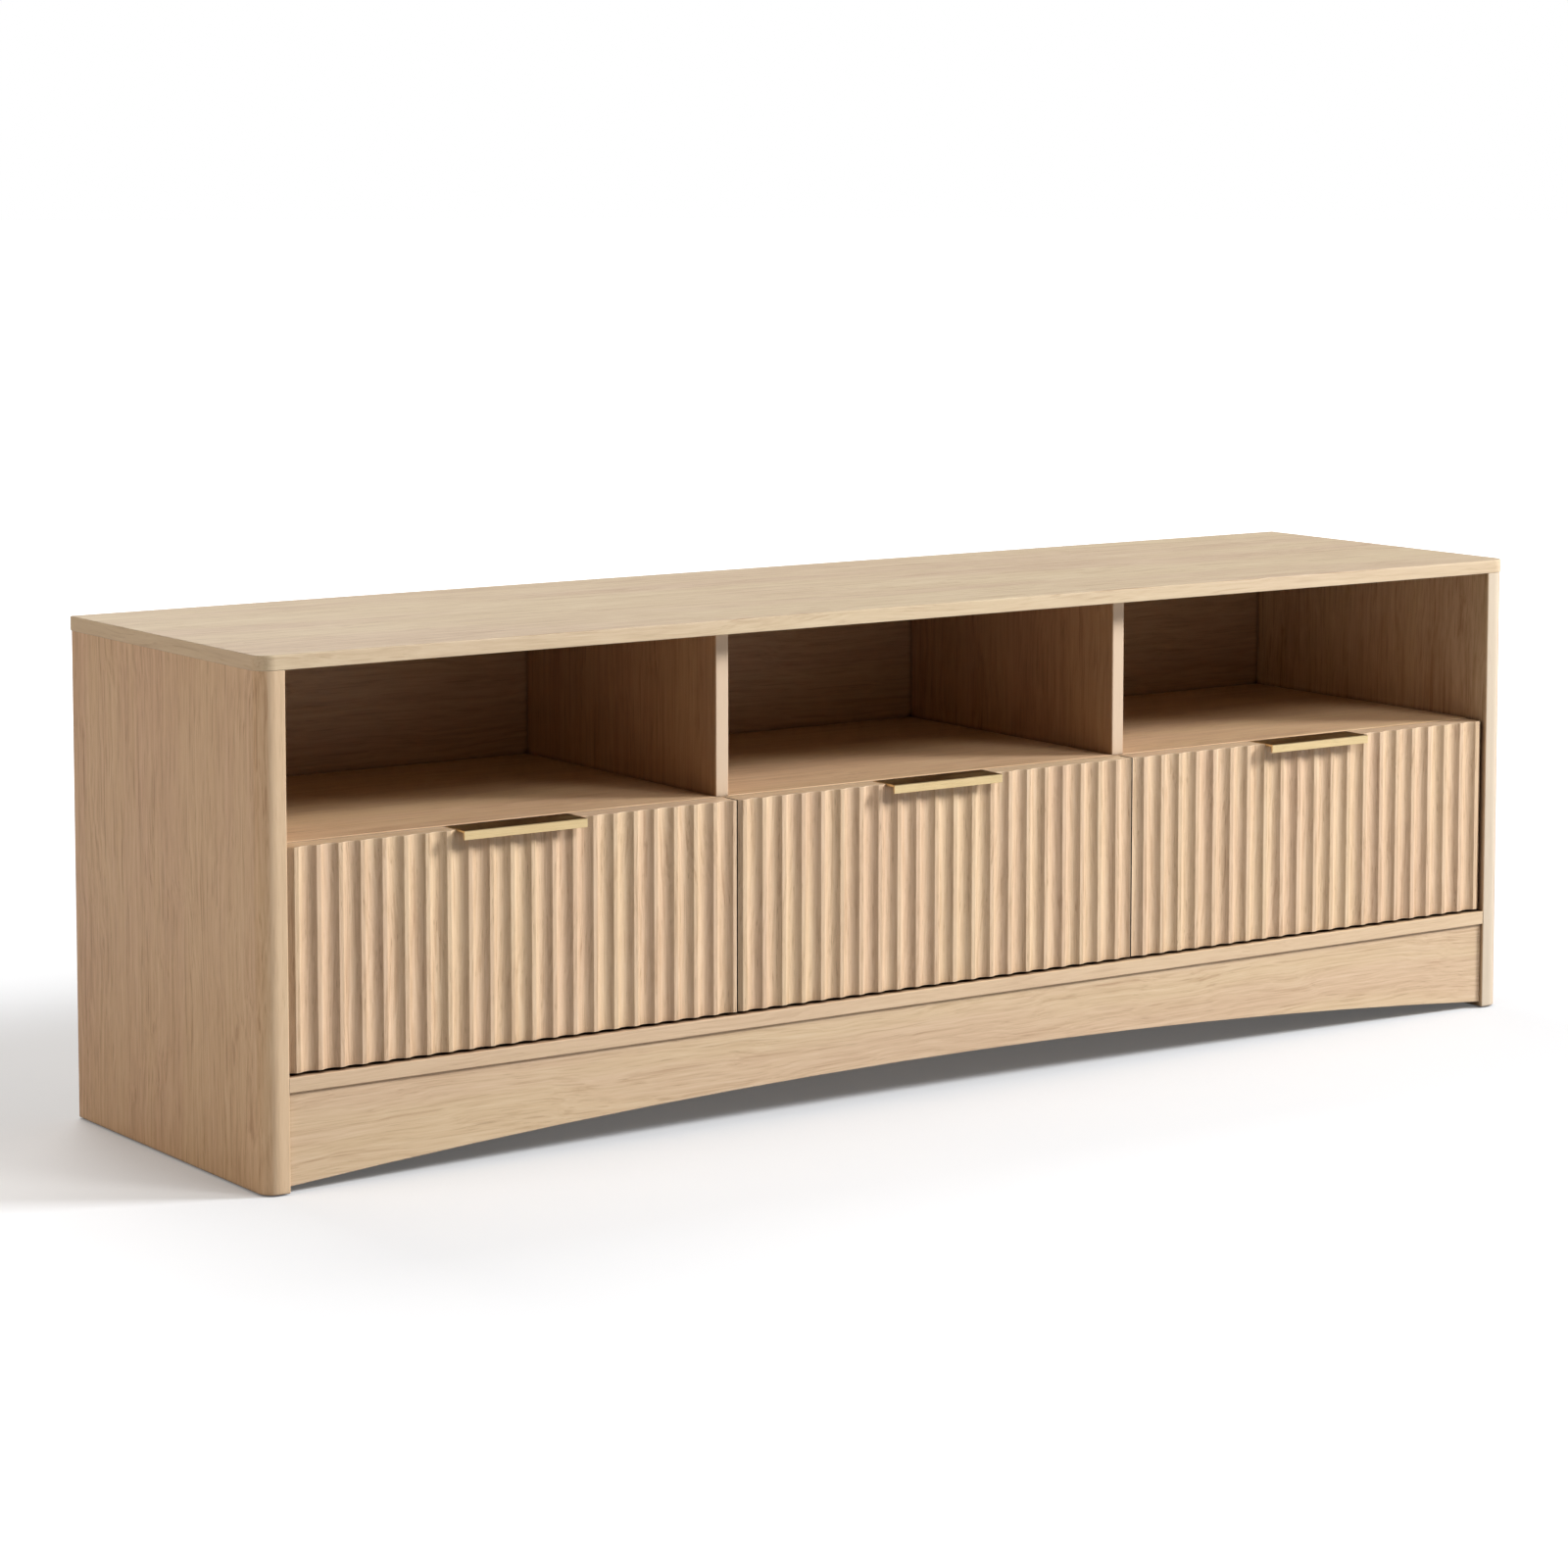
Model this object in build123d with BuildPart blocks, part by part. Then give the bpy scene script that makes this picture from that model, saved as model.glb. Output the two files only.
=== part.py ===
from build123d import *
import os

os.makedirs("parts", exist_ok=True)

# Low media cabinet: solid-edged oak boards, three open bays over three fluted drawers, arched plinth.
# Frame: origin on the floor under the middle of the whole object, +X to the right, -Y to the front, +Z up. Millimetres.

# ---------------------------------------------------------------- driving dimensions
overall_width = 1600.0        # top board, end to end
overall_height = 518.0
body_depth = 408.0            # front face of the boards to the back face
pull_reach = 8.0              # how far the drawer pulls stand in front of the boards

top_thick = 15.0
top_overhang_side = 1.5
top_overhang_front = 0.5
side_thick = 27.0
side_corner_r = 16.0          # rounded outer front edge of each side panel
shelf_thick = 16.0
divider_thick = 16.0
bottom_thick = 15.0
back_thick = 6.0
rail_thick = 16.0

inner_setback = 32.0          # shelf and dividers behind the front plane
shelf_top_z = 334.0
bottom_top_z = 113.0
plinth_setback = 4.5
plinth_end_z = 7.0            # underside of the plinth at its ends
plinth_crown_z = 39.0         # underside of the plinth at mid span
glide_height = 1.5

front_gap = 3.0               # gap round each drawer front
front_setback = 4.0           # fluted face behind the front plane
front_thick = 26.0
front_top_drop = 1.0          # drawer front top below the shelf surface
flute_ridge = 5.0             # flat ridge width
flute_depth = 3.7
flute_chord = 19.1            # scoop width at the face
ridge_round = 0.8

pull_length = 140.0
pull_sheet = 2.0
pull_lip = 9.0
pull_leg = 20.0
pull_proud = 0.5              # flange surface above the drawer front's top edge

box_side = 12.0
box_bottom = 6.0
box_low_z = 128.0
box_high_z = 278.0
box_groove = 6.0
slide_gap = 12.7
slide_length = 350.0
slide_centre_z = 192.0
sheet = 1.2

dowel_r = 4.0
dowel_length = 30.0
dowel_clear = 0.05
screw_r = 1.75
screw_length = 12.0
screw_head_r = 3.6
screw_head_h = 1.6
pilot_r = 1.8

# ---------------------------------------------------------------- derived planes
half_w = overall_width / 2
front_y = -(body_depth + pull_reach) / 2 + pull_reach      # front plane of the top board
back_y = front_y + body_depth
side_front_y = front_y + top_overhang_front
side_out = half_w - top_overhang_side
side_in = side_out - side_thick
top_low_z = overall_height - top_thick
shelf_low_z = shelf_top_z - shelf_thick
bottom_low_z = bottom_top_z - bottom_thick
inner_y = front_y + inner_setback
back_in_y = back_y - 8.0                                   # inner face of the back panel
divider_x = 2 * side_in / 6                                # divider centres at +-divider_x
bottom_front_y = front_y + 1.0
plinth_y = front_y + plinth_setback
rail_y = back_in_y - rail_thick

front_w = (2 * side_in - 4 * front_gap) / 3
face_y = front_y + front_setback
front_back_y = face_y + front_thick
front_low_z = bottom_top_z + front_gap
front_top_z = shelf_top_z - front_top_drop

bays = {
    "left": (-side_in, -divider_x - divider_thick / 2, -side_in + front_gap, 6.0, 23.80),
    "centre": (-divider_x + divider_thick / 2, divider_x - divider_thick / 2, -side_in + 2 * front_gap + front_w, 4.5, 24.18),
    "right": (divider_x + divider_thick / 2, side_in, -side_in + 3 * front_gap + 2 * front_w, 13.4, 24.37),
}   # clear bay from x, to x, left end of the drawer front, first ridge from that end, flute pitch

CMM = (Align.CENTER, Align.MIN, Align.MIN)
MMM = (Align.MIN, Align.MIN, Align.MIN)
CCN = (Align.CENTER, Align.CENTER, Align.MIN)
CCX = (Align.CENTER, Align.CENTER, Align.MAX)

# ---------------------------------------------------------------- fixing positions
# dowels: centre points. Upright ones run along Z, lying ones along X.
side_mid = (side_in + side_out) / 2
dowels_z = []
for sx in (-1, 1):
    dowels_z += [(sx * side_mid, y, top_low_z - 5) for y in (-150, 5, 160)]
    dowels_z += [(sx * divider_x, y, top_low_z - 5) for y in (-130, 20, 165)]
    dowels_z += [(sx * divider_x, y, shelf_top_z + 7) for y in (-130, 165)]
    dowels_z += [(sx * divider_x, y, shelf_low_z - 7) for y in (-90, 125)]
    dowels_z += [(sx * divider_x, y, bottom_top_z + 5) for y in (-130, 165)]
dowels_x = []
for sx in (-1, 1):
    dowels_x += [(sx * (side_in - 3), y, shelf_top_z - shelf_thick / 2) for y in (-130, 20, 165)]
    dowels_x += [(sx * (side_in - 3), y, bottom_top_z - bottom_thick / 2) for y in (-150, 20, 165)]
    dowels_x += [(sx * (side_in - 3), plinth_y + rail_thick / 2, z) for z in (34, 78)]
    dowels_x += [(sx * (side_in - 3), rail_y + rail_thick / 2, z) for z in (58, 84)]

# angle brackets: foot of the upright leg, and the direction they face
leg_w = 50.0
leg_x, leg_y = 0.0, 20.0
brackets = [(x, plinth_y + rail_thick, 0) for x in (-640, -330, 0, 330, 640)]
brackets += [(x, rail_y, 180) for x in (-600, -200, 200, 600)]
brackets += [(leg_x + leg_w / 2, leg_y, -90), (leg_x - leg_w / 2, leg_y, 90)]
bracket_leg, bracket_sheet, bracket_w = 30.0, 2.0, 18.0
facing = {0: (0, 1), 180: (0, -1), -90: (1, 0), 90: (-1, 0)}

# screws: seat under the head, and the way the head faces
turn = {"+x": (0, 90, 0), "-x": (0, -90, 0), "+y": (-90, 0, 0), "-y": (90, 0, 0), "+z": (0, 0, 0), "-z": (180, 0, 0)}
word = {(0, 1): "+y", (0, -1): "-y", (1, 0): "+x", (-1, 0): "-x"}
carcass_screw_sites = []
for bx, by, a in brackets:
    ox, oy = facing[a]
    carcass_screw_sites.append((bx + ox * 20, by + oy * 20, bottom_low_z - bracket_sheet, "-z"))
    carcass_screw_sites.append((bx + ox * bracket_sheet, by + oy * bracket_sheet, bottom_low_z - 20, word[(ox, oy)]))
slide_start_y = inner_y + 1.0
slide_end_y = slide_start_y + slide_length
slide_holes_y = (slide_start_y + 35, slide_start_y + 165, slide_start_y + 315)
for name, (x0, x1, fx, first, pitch) in bays.items():
    for y in slide_holes_y:
        carcass_screw_sites.append((x0 + sheet, y, slide_centre_z, "+x"))
        carcass_screw_sites.append((x1 - sheet, y, slide_centre_z, "-x"))

back_screw_sites = []
for x in (-700, -514, -330, -150, 0, 150, 330, 514, 700):
    back_screw_sites += [(x, back_in_y + back_thick, shelf_top_z - shelf_thick / 2, "+y"), (x, back_in_y + back_thick, bottom_top_z - bottom_thick / 2, "+y")]
for sx in (-1, 1):
    for z in (150, 250, 390, 470):
        back_screw_sites.append((sx * (side_in + 3.6), back_in_y + back_thick, z, "+y"))
    for z in (160, 270, 380, 460):
        back_screw_sites.append((sx * divider_x, back_in_y + back_thick, z, "+y"))

glide_sites = [(sx * side_mid, y) for sx in (-1, 1) for y in (-160, 5, 170)] + [(leg_x, leg_y)]


def in_reach(sites, lo, hi, m=17.0):
    return [s for s in sites if all(lo[i] - m < s[i] < hi[i] + m for i in range(3))]


def cut_dowel_holes(lo, hi):
    """Bores for the dowels that reach into the board being built."""
    z_sites = in_reach(dowels_z, lo, hi)
    x_sites = in_reach(dowels_x, lo, hi)
    if z_sites:
        with Locations(*[Location(s) for s in z_sites]):
            Cylinder(dowel_r + dowel_clear, dowel_length + 0.8, mode=Mode.SUBTRACT)
    if x_sites:
        with Locations(*[Location(s, (0, 90, 0)) for s in x_sites]):
            Cylinder(dowel_r + dowel_clear, dowel_length + 0.8, mode=Mode.SUBTRACT)


def cut_pilots(sites, lo, hi):
    """Pilot bores for the screws whose shanks reach into the board being built."""
    near = in_reach(sites, lo, hi, 8.0)
    if near:
        with Locations(*[Location(s[:3], turn[s[3]]) for s in near]):
            Cylinder(pilot_r, screw_length + 0.4, align=CCX, mode=Mode.SUBTRACT)


def add_screws(sites, shank=screw_length, r=screw_r, head_r=screw_head_r, head_h=screw_head_h):
    """Pan-head screws with a cross recess and a pointed end."""
    locs = [Location(s[:3], turn[s[3]]) for s in sites]
    with Locations(*locs):
        Cylinder(head_r, head_h, align=CCN)
        Cylinder(r, shank - 2.5, align=CCX)
    with Locations(*[l * Location((0, 0, -(shank - 2.5))) for l in locs]):
        Cone(0.3, r, 2.5, align=CCX)
    with Locations(*[l * Location((0, 0, head_h)) for l in locs]):
        Box(head_r * 1.15, 0.8, 1.0, align=CCX, mode=Mode.SUBTRACT)
        Box(0.8, head_r * 1.15, 1.0, align=CCX, mode=Mode.SUBTRACT)


def front_edges(part, y, tol=0.01):
    return part.edges().filter_by_position(Axis.Y, y - tol, y + tol)


# ---------------------------------------------------------------- carcass boards
# top board, rounded in plan at its two front corners, rebated behind for the back panel
with BuildPart() as top_panel:
    with BuildSketch(Plane.XY.offset(top_low_z)) as s:
        with Locations((0, (front_y + back_y) / 2)):
            Rectangle(overall_width, body_depth)
        fillet(s.vertices().group_by(Axis.Y)[0], side_corner_r + top_overhang_side)
        fillet(s.vertices().group_by(Axis.Y)[-1], 2.0)
    extrude(amount=top_thick)
    fillet(top_panel.faces().sort_by(Axis.Z)[-1].edges(), 1.5)
    fillet(top_panel.faces().sort_by(Axis.Z)[0].edges(), 1.0)
    with Locations((0, back_in_y, top_low_z - 1)):
        Box(2 * (side_in + 7.5), 20, 7, align=CMM, mode=Mode.SUBTRACT)
    cut_dowel_holes((-half_w, front_y, top_low_z), (half_w, back_y, overall_height))
top_panel.part.label = "top_panel"
export_step(top_panel.part, "parts/top_panel.step")


def cut_side(sx):
    """Rebate for the back panel, dowel bores, glide bores and slide pilots in a side panel."""
    lo_x, hi_x = sorted((sx * side_in, sx * side_out))
    with Locations((sx * (side_in + 3.75 - 0.5), back_in_y, bottom_low_z)):
        Box(8.5, 20, 600, align=CMM, mode=Mode.SUBTRACT)
    cut_dowel_holes((lo_x, side_front_y, glide_height), (hi_x, back_y, top_low_z))
    cut_pilots(carcass_screw_sites, (lo_x, side_front_y, glide_height), (hi_x, back_y, top_low_z))
    cut_pilots(back_screw_sites, (lo_x, side_front_y, glide_height), (hi_x, back_y, top_low_z))
    with Locations(*[Location((x, y, glide_height)) for x, y in glide_sites if x * sx > 0]):
        Cylinder(2.05, 12.3, align=CCN, mode=Mode.SUBTRACT)


# side panels: big round on the outer front edge, eased elsewhere
for sx, side in ((-1, "left"), (1, "right")):
    with BuildPart() as side_panel:
        with BuildSketch(Plane.XY.offset(glide_height)) as s:
            with Locations((sx * side_mid, (side_front_y + back_y) / 2)):
                Rectangle(side_thick, back_y - side_front_y)
            fillet(s.vertices().group_by(Axis.Y)[0].sort_by(Axis.X)[0 if sx < 0 else -1], side_corner_r)
            fillet(s.vertices().filter_by_position(Axis.X, sx * side_in - 0.01, sx * side_in + 0.01).sort_by(Axis.Y)[0], 1.5)
            fillet(s.vertices().filter_by_position(Axis.X, sx * side_out - 0.01, sx * side_out + 0.01).sort_by(Axis.Y)[-1], 1.5)
        extrude(amount=top_low_z - glide_height)
        chamfer(side_panel.faces().sort_by(Axis.Z)[0].edges(), 0.8)
        cut_side(sx)
    side_panel.part.label = side + "_side_panel"
    export_step(side_panel.part, "parts/" + side + "_side_panel.step")

# dividers: two above the shelf, two below it, in line with each other
for sx, side in ((-1, "left"), (1, "right")):
    for level, z0, z1 in (("upper", shelf_top_z, top_low_z), ("lower", bottom_top_z, shelf_low_z)):
        lo = (sx * divider_x - divider_thick / 2, inner_y, z0)
        hi = (sx * divider_x + divider_thick / 2, back_in_y, z1)
        with BuildPart() as divider:
            with Locations(lo):
                Box(divider_thick, back_in_y - inner_y, z1 - z0, align=MMM)
            fillet(front_edges(divider, inner_y).filter_by(Axis.Z), 1.5)
            cut_dowel_holes(lo, hi)
            cut_pilots(carcass_screw_sites, lo, hi)
            cut_pilots(back_screw_sites, lo, hi)
        divider.part.label = side + "_" + level + "_divider"
        export_step(divider.part, "parts/" + side + "_" + level + "_divider.step")

# the shelf between the open bays and the drawers
with BuildPart() as middle_shelf:
    with Locations((0, inner_y, shelf_low_z)):
        Box(2 * side_in, back_in_y - inner_y, shelf_thick, align=CMM)
    fillet(front_edges(middle_shelf, inner_y).filter_by(Axis.X), 1.5)
    cut_dowel_holes((-side_in, inner_y, shelf_low_z), (side_in, back_in_y, shelf_top_z))
    cut_pilots(back_screw_sites, (-side_in, inner_y, shelf_low_z), (side_in, back_in_y, shelf_top_z))
middle_shelf.part.label = "middle_shelf"
export_step(middle_shelf.part, "parts/middle_shelf.step")

# the bottom board, whose front edge shows as a strip below the drawers
with BuildPart() as bottom_panel:
    with Locations((0, bottom_front_y, bottom_low_z)):
        Box(2 * side_in, back_in_y - bottom_front_y, bottom_thick, align=CMM)
    fillet(front_edges(bottom_panel, bottom_front_y).filter_by(Axis.X), 1.2)
    cut_dowel_holes((-side_in, bottom_front_y, bottom_low_z), (side_in, back_in_y, bottom_top_z))
    cut_pilots(carcass_screw_sites, (-side_in, bottom_front_y, bottom_low_z), (side_in, back_in_y, bottom_top_z))
    cut_pilots(back_screw_sites, (-side_in, bottom_front_y, bottom_low_z), (side_in, back_in_y, bottom_top_z))
bottom_panel.part.label = "bottom_panel"
export_step(bottom_panel.part, "parts/bottom_panel.step")

# front plinth with a shallow arch along its lower edge
with BuildPart() as arched_plinth:
    with BuildSketch(Plane.XZ.offset(-plinth_y)) as s:
        with BuildLine():
            ThreePointArc((-side_in, plinth_end_z), (0, plinth_crown_z), (side_in, plinth_end_z))
            Polyline((side_in, plinth_end_z), (side_in, bottom_low_z), (-side_in, bottom_low_z), (-side_in, plinth_end_z))
        make_face()
    extrude(amount=-rail_thick)
    chamfer(front_edges(arched_plinth, plinth_y).filter_by(GeomType.CIRCLE), 0.8)
    cut_dowel_holes((-side_in, plinth_y, plinth_end_z), (side_in, plinth_y + rail_thick, bottom_low_z))
    cut_pilots(carcass_screw_sites, (-side_in, plinth_y, plinth_end_z), (side_in, plinth_y + rail_thick, bottom_low_z))
arched_plinth.part.label = "arched_plinth"
export_step(arched_plinth.part, "parts/arched_plinth.step")

# rear rail under the bottom board
with BuildPart() as rear_rail:
    with Locations((0, rail_y, 40)):
        Box(2 * side_in, rail_thick, bottom_low_z - 40, align=CMM)
    cut_dowel_holes((-side_in, rail_y, 40), (side_in, back_in_y, bottom_low_z))
    cut_pilots(carcass_screw_sites, (-side_in, rail_y, 40), (side_in, back_in_y, bottom_low_z))
rear_rail.part.label = "rear_rail"
export_step(rear_rail.part, "parts/rear_rail.step")

# thin back panel, let into the side panels and the top
with BuildPart() as back_panel:
    with Locations((0, back_in_y, bottom_low_z + 1)):
        Box(2 * (side_in + 7.0), back_thick, top_low_z + 5.5 - bottom_low_z - 1, align=CMM)
    with Locations(*[Location(p[:3], turn["+y"]) for p in back_screw_sites]):
        Cylinder(pilot_r, 30, mode=Mode.SUBTRACT)
back_panel.part.label = "back_panel"
export_step(back_panel.part, "parts/back_panel.step")

# support leg under the middle of the bottom board
with BuildPart() as centre_leg:
    with Locations((leg_x, leg_y, glide_height)):
        Box(leg_w, leg_w, bottom_low_z - glide_height, align=CCN)
    fillet(centre_leg.edges().filter_by(Axis.Z), 3.0)
    with Locations((leg_x, leg_y, glide_height)):
        Cylinder(2.05, 12.3, align=CCN, mode=Mode.SUBTRACT)
    cut_pilots(carcass_screw_sites, (leg_x - leg_w / 2, leg_y - leg_w / 2, glide_height), (leg_x + leg_w / 2, leg_y + leg_w / 2, bottom_low_z - 6))
centre_leg.part.label = "centre_leg"
export_step(centre_leg.part, "parts/centre_leg.step")

# nail-on floor glides
with BuildPart() as floor_glides:
    with Locations(*[Location((x, y, 0)) for x, y in glide_sites]):
        Cylinder(9.0, glide_height, align=CCN)
    chamfer(floor_glides.faces().filter_by(Plane.XY).group_by(Axis.Z)[0].edges(), 0.5)
    with Locations(*[Location((x, y, glide_height)) for x, y in glide_sites]):
        Cylinder(2.0, 12.0, align=CCN)
floor_glides.part.label = "floor_glides"
export_step(floor_glides.part, "parts/floor_glides.step")

# glued dowels that hold the carcass together
with BuildPart() as carcass_dowels:
    with Locations(*[Location(p) for p in dowels_z]):
        Cylinder(dowel_r, dowel_length)
    with Locations(*[Location(p, (0, 90, 0)) for p in dowels_x]):
        Cylinder(dowel_r, dowel_length)
    chamfer(carcass_dowels.edges().filter_by(GeomType.CIRCLE), 0.8)
carcass_dowels.part.label = "carcass_dowels"
export_step(carcass_dowels.part, "parts/carcass_dowels.step")

# steel angle brackets: bottom board to plinth, rear rail and leg
with BuildPart() as angle_brackets:
    locs = [Location((x, y, bottom_low_z), (0, 0, a)) for x, y, a in brackets]
    with Locations(*[l * Location((0, bracket_leg / 2, -bracket_sheet / 2)) for l in locs]):
        Box(bracket_w, bracket_leg, bracket_sheet)
    with Locations(*[l * Location((0, bracket_sheet / 2, -bracket_leg / 2)) for l in locs]):
        Box(bracket_w, bracket_sheet, bracket_leg)
    with Locations(*[l * Location((0, 20, 0)) for l in locs]):
        Cylinder(2.0, 8, mode=Mode.SUBTRACT)
    with Locations(*[l * Location((0, 0, -20), (90, 0, 0)) for l in locs]):
        Cylinder(2.0, 8, mode=Mode.SUBTRACT)
angle_brackets.part.label = "angle_brackets"
export_step(angle_brackets.part, "parts/angle_brackets.step")

# screws in the brackets and in the fixed slide members
with BuildPart() as carcass_screws:
    add_screws(carcass_screw_sites)
carcass_screws.part.label = "carcass_screws"
export_step(carcass_screws.part, "parts/carcass_screws.step")

# screws round the back panel
with BuildPart() as back_panel_screws:
    add_screws(back_screw_sites)
back_panel_screws.part.label = "back_panel_screws"
export_step(back_panel_screws.part, "parts/back_panel_screws.step")

# small rubber bumpers on the shelf edge that the drawer fronts close against
with BuildPart() as drawer_bumpers:
    for name, (x0, x1, fx, first, pitch) in bays.items():
        with Locations(*[Location((x, inner_y, shelf_low_z + 6.5), turn["-y"]) for x in (x0 + 40, x1 - 40)]):
            Cylinder(4.0, 1.7, align=CCN)
    chamfer(drawer_bumpers.faces().group_by(Axis.Y)[0].edges(), 0.4)
drawer_bumpers.part.label = "drawer_bumpers"
export_step(drawer_bumpers.part, "parts/drawer_bumpers.step")

# ---------------------------------------------------------------- drawers and their slides
# slide members in section: distance from the bay wall, height from the slide's middle
outer_section = [(0, 22.5), (9.5, 22.5), (9.5, 21.3), (sheet, 21.3), (sheet, -21.3), (9.5, -21.3), (9.5, -22.5), (0, -22.5)]
middle_section = [(3.5, 18.5), (10.5, 18.5), (10.5, 17.3), (4.7, 17.3), (4.7, -17.3), (10.5, -17.3), (10.5, -18.5), (3.5, -18.5)]
inner_section = [(slide_gap, 15), (6.2, 15), (6.2, 13.8), (slide_gap - sheet, 13.8), (slide_gap - sheet, -13.8), (6.2, -13.8), (6.2, -15), (slide_gap, -15)]


for name, (x0, x1, fx, first, pitch) in bays.items():
    mid_x = (x0 + x1) / 2
    front_mid = fx + front_w / 2
    box_x0, box_x1 = x0 + slide_gap, x1 - slide_gap
    box_y0, box_y1 = front_back_y, slide_end_y
    hole_z = 207.0
    fix_x = (box_x0 + 60, box_x1 - 60)
    small_sites = [(box_x0 - sheet, y, slide_centre_z, "-x") for y in slide_holes_y]
    small_sites += [(box_x1 + sheet, y, slide_centre_z, "+x") for y in slide_holes_y]
    leg_face_y = front_back_y
    leg_z = front_top_z + pull_proud - pull_sheet
    pull_sites = [(front_mid + dx, leg_face_y, leg_z - 11, "+y") for dx in (-45, 45)]
    front_fix_sites = [(x, box_y0 + box_side, z, "+y") for x in fix_x for z in (165, 245)]

    # fluted front: flat ridges with round scoops between them
    scoop_r = (flute_chord ** 2 / 4 + flute_depth ** 2) / (2 * flute_depth)
    chord = pitch - flute_ridge
    scoop_mids = []
    k = -1
    while True:
        mid = fx + first + k * pitch + flute_ridge + chord / 2
        if mid - chord / 2 > fx + front_w - 2.5:
            break
        if mid + chord / 2 > fx + 2.0:
            scoop_mids.append(mid)
        k += 1
    with BuildPart() as drawer_front:
        with BuildSketch(Plane.XY.offset(front_low_z)) as s:
            with Locations((front_mid, (face_y + front_back_y) / 2)):
                Rectangle(front_w, front_thick)
            with Locations(*[(m, face_y + flute_depth - scoop_r) for m in scoop_mids]):
                Circle(scoop_r, mode=Mode.SUBTRACT)
            corners = s.vertices().filter_by_position(Axis.Y, face_y - 0.01, face_y + 0.01)
            fillet(corners, ridge_round)
            fillet(s.vertices().filter_by_position(Axis.Y, front_back_y - 0.01, front_back_y + 0.01), 1.0)
        extrude(amount=front_top_z - front_low_z)
        with Locations((front_mid, face_y - 1, leg_z)):
            Box(pull_length + 0.4, front_thick + 2, 10, align=CMM, mode=Mode.SUBTRACT)
        with Locations((front_mid, leg_face_y - pull_sheet, leg_z - pull_leg + pull_sheet - 0.2)):
            Box(pull_length + 0.4, 10, pull_leg + 20, align=CMM, mode=Mode.SUBTRACT)
        with Locations(*[Location(p[:3], turn["+y"]) for p in pull_sites]):
            Cylinder(pilot_r, screw_length + 0.4, align=CCX, mode=Mode.SUBTRACT)
        with Locations(*[Location(p[:3], turn["+y"]) for p in front_fix_sites]):
            Cylinder(2.05, 30.4, align=CCX, mode=Mode.SUBTRACT)
    drawer_front.part.label = name + "_drawer_front"
    export_step(drawer_front.part, "parts/" + name + "_drawer_front.step")

    # box sides, grooved for the bottom
    for sname, sx0 in (("left", box_x0), ("right", box_x1 - box_side)):
        with BuildPart() as box_side_board:
            with Locations((sx0, box_y0, box_low_z)):
                Box(box_side, box_y1 - box_y0, box_high_z - box_low_z, align=MMM)
            fillet(box_side_board.faces().sort_by(Axis.Z)[-1].edges().filter_by(Axis.Y), 2.0)
            groove_x = sx0 + (box_side - box_groove if sname == "left" else 0)
            with Locations((groove_x, box_y0, box_low_z + 8 - 0.05)):
                Box(box_groove, box_y1 - box_y0, box_bottom + 0.1, align=MMM, mode=Mode.SUBTRACT)
            with Locations(*[Location(p[:3], turn[p[3]]) for p in small_sites]):
                Cylinder(pilot_r, screw_length + 0.4, align=CCX, mode=Mode.SUBTRACT)
        box_side_board.part.label = name + "_drawer_" + sname + "_side"
        export_step(box_side_board.part, "parts/" + name + "_drawer_" + sname + "_side.step")

    # inner front, screwed to the fluted front
    ix0, ix1 = box_x0 + box_side, box_x1 - box_side
    with BuildPart() as inner_front:
        with Locations((ix0, box_y0, box_low_z)):
            Box(ix1 - ix0, box_side, box_high_z - box_low_z, align=MMM)
        fillet(inner_front.faces().sort_by(Axis.Z)[-1].edges().filter_by(Axis.X), 2.0)
        with Locations((ix0, box_y0 + box_side - box_groove, box_low_z + 8 - 0.05)):
            Box(ix1 - ix0, box_groove, box_bottom + 0.1, align=MMM, mode=Mode.SUBTRACT)
        with Locations(*[Location(p[:3], turn["+y"]) for p in front_fix_sites]):
            Cylinder(2.05, 60, mode=Mode.SUBTRACT)
    inner_front.part.label = name + "_drawer_inner_front"
    export_step(inner_front.part, "parts/" + name + "_drawer_inner_front.step")

    # box back, standing on the bottom
    with BuildPart() as box_back:
        with Locations((ix0, box_y1 - box_side, box_low_z + 8 + box_bottom)):
            Box(ix1 - ix0, box_side, box_high_z - box_low_z - 8 - box_bottom, align=MMM)
        fillet(box_back.faces().sort_by(Axis.Z)[-1].edges().filter_by(Axis.X), 2.0)
    box_back.part.label = name + "_drawer_back"
    export_step(box_back.part, "parts/" + name + "_drawer_back.step")

    # box bottom, in the grooves
    with BuildPart() as box_base:
        with Locations((ix0 - box_groove + 0.2, box_y0 + box_side - box_groove + 0.2, box_low_z + 8)):
            Box(ix1 - ix0 + 2 * box_groove - 0.4, box_y1 - box_y0 - box_side + box_groove - 0.2, box_bottom, align=MMM)
    box_base.part.label = name + "_drawer_bottom"
    export_step(box_base.part, "parts/" + name + "_drawer_bottom.step")

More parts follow.
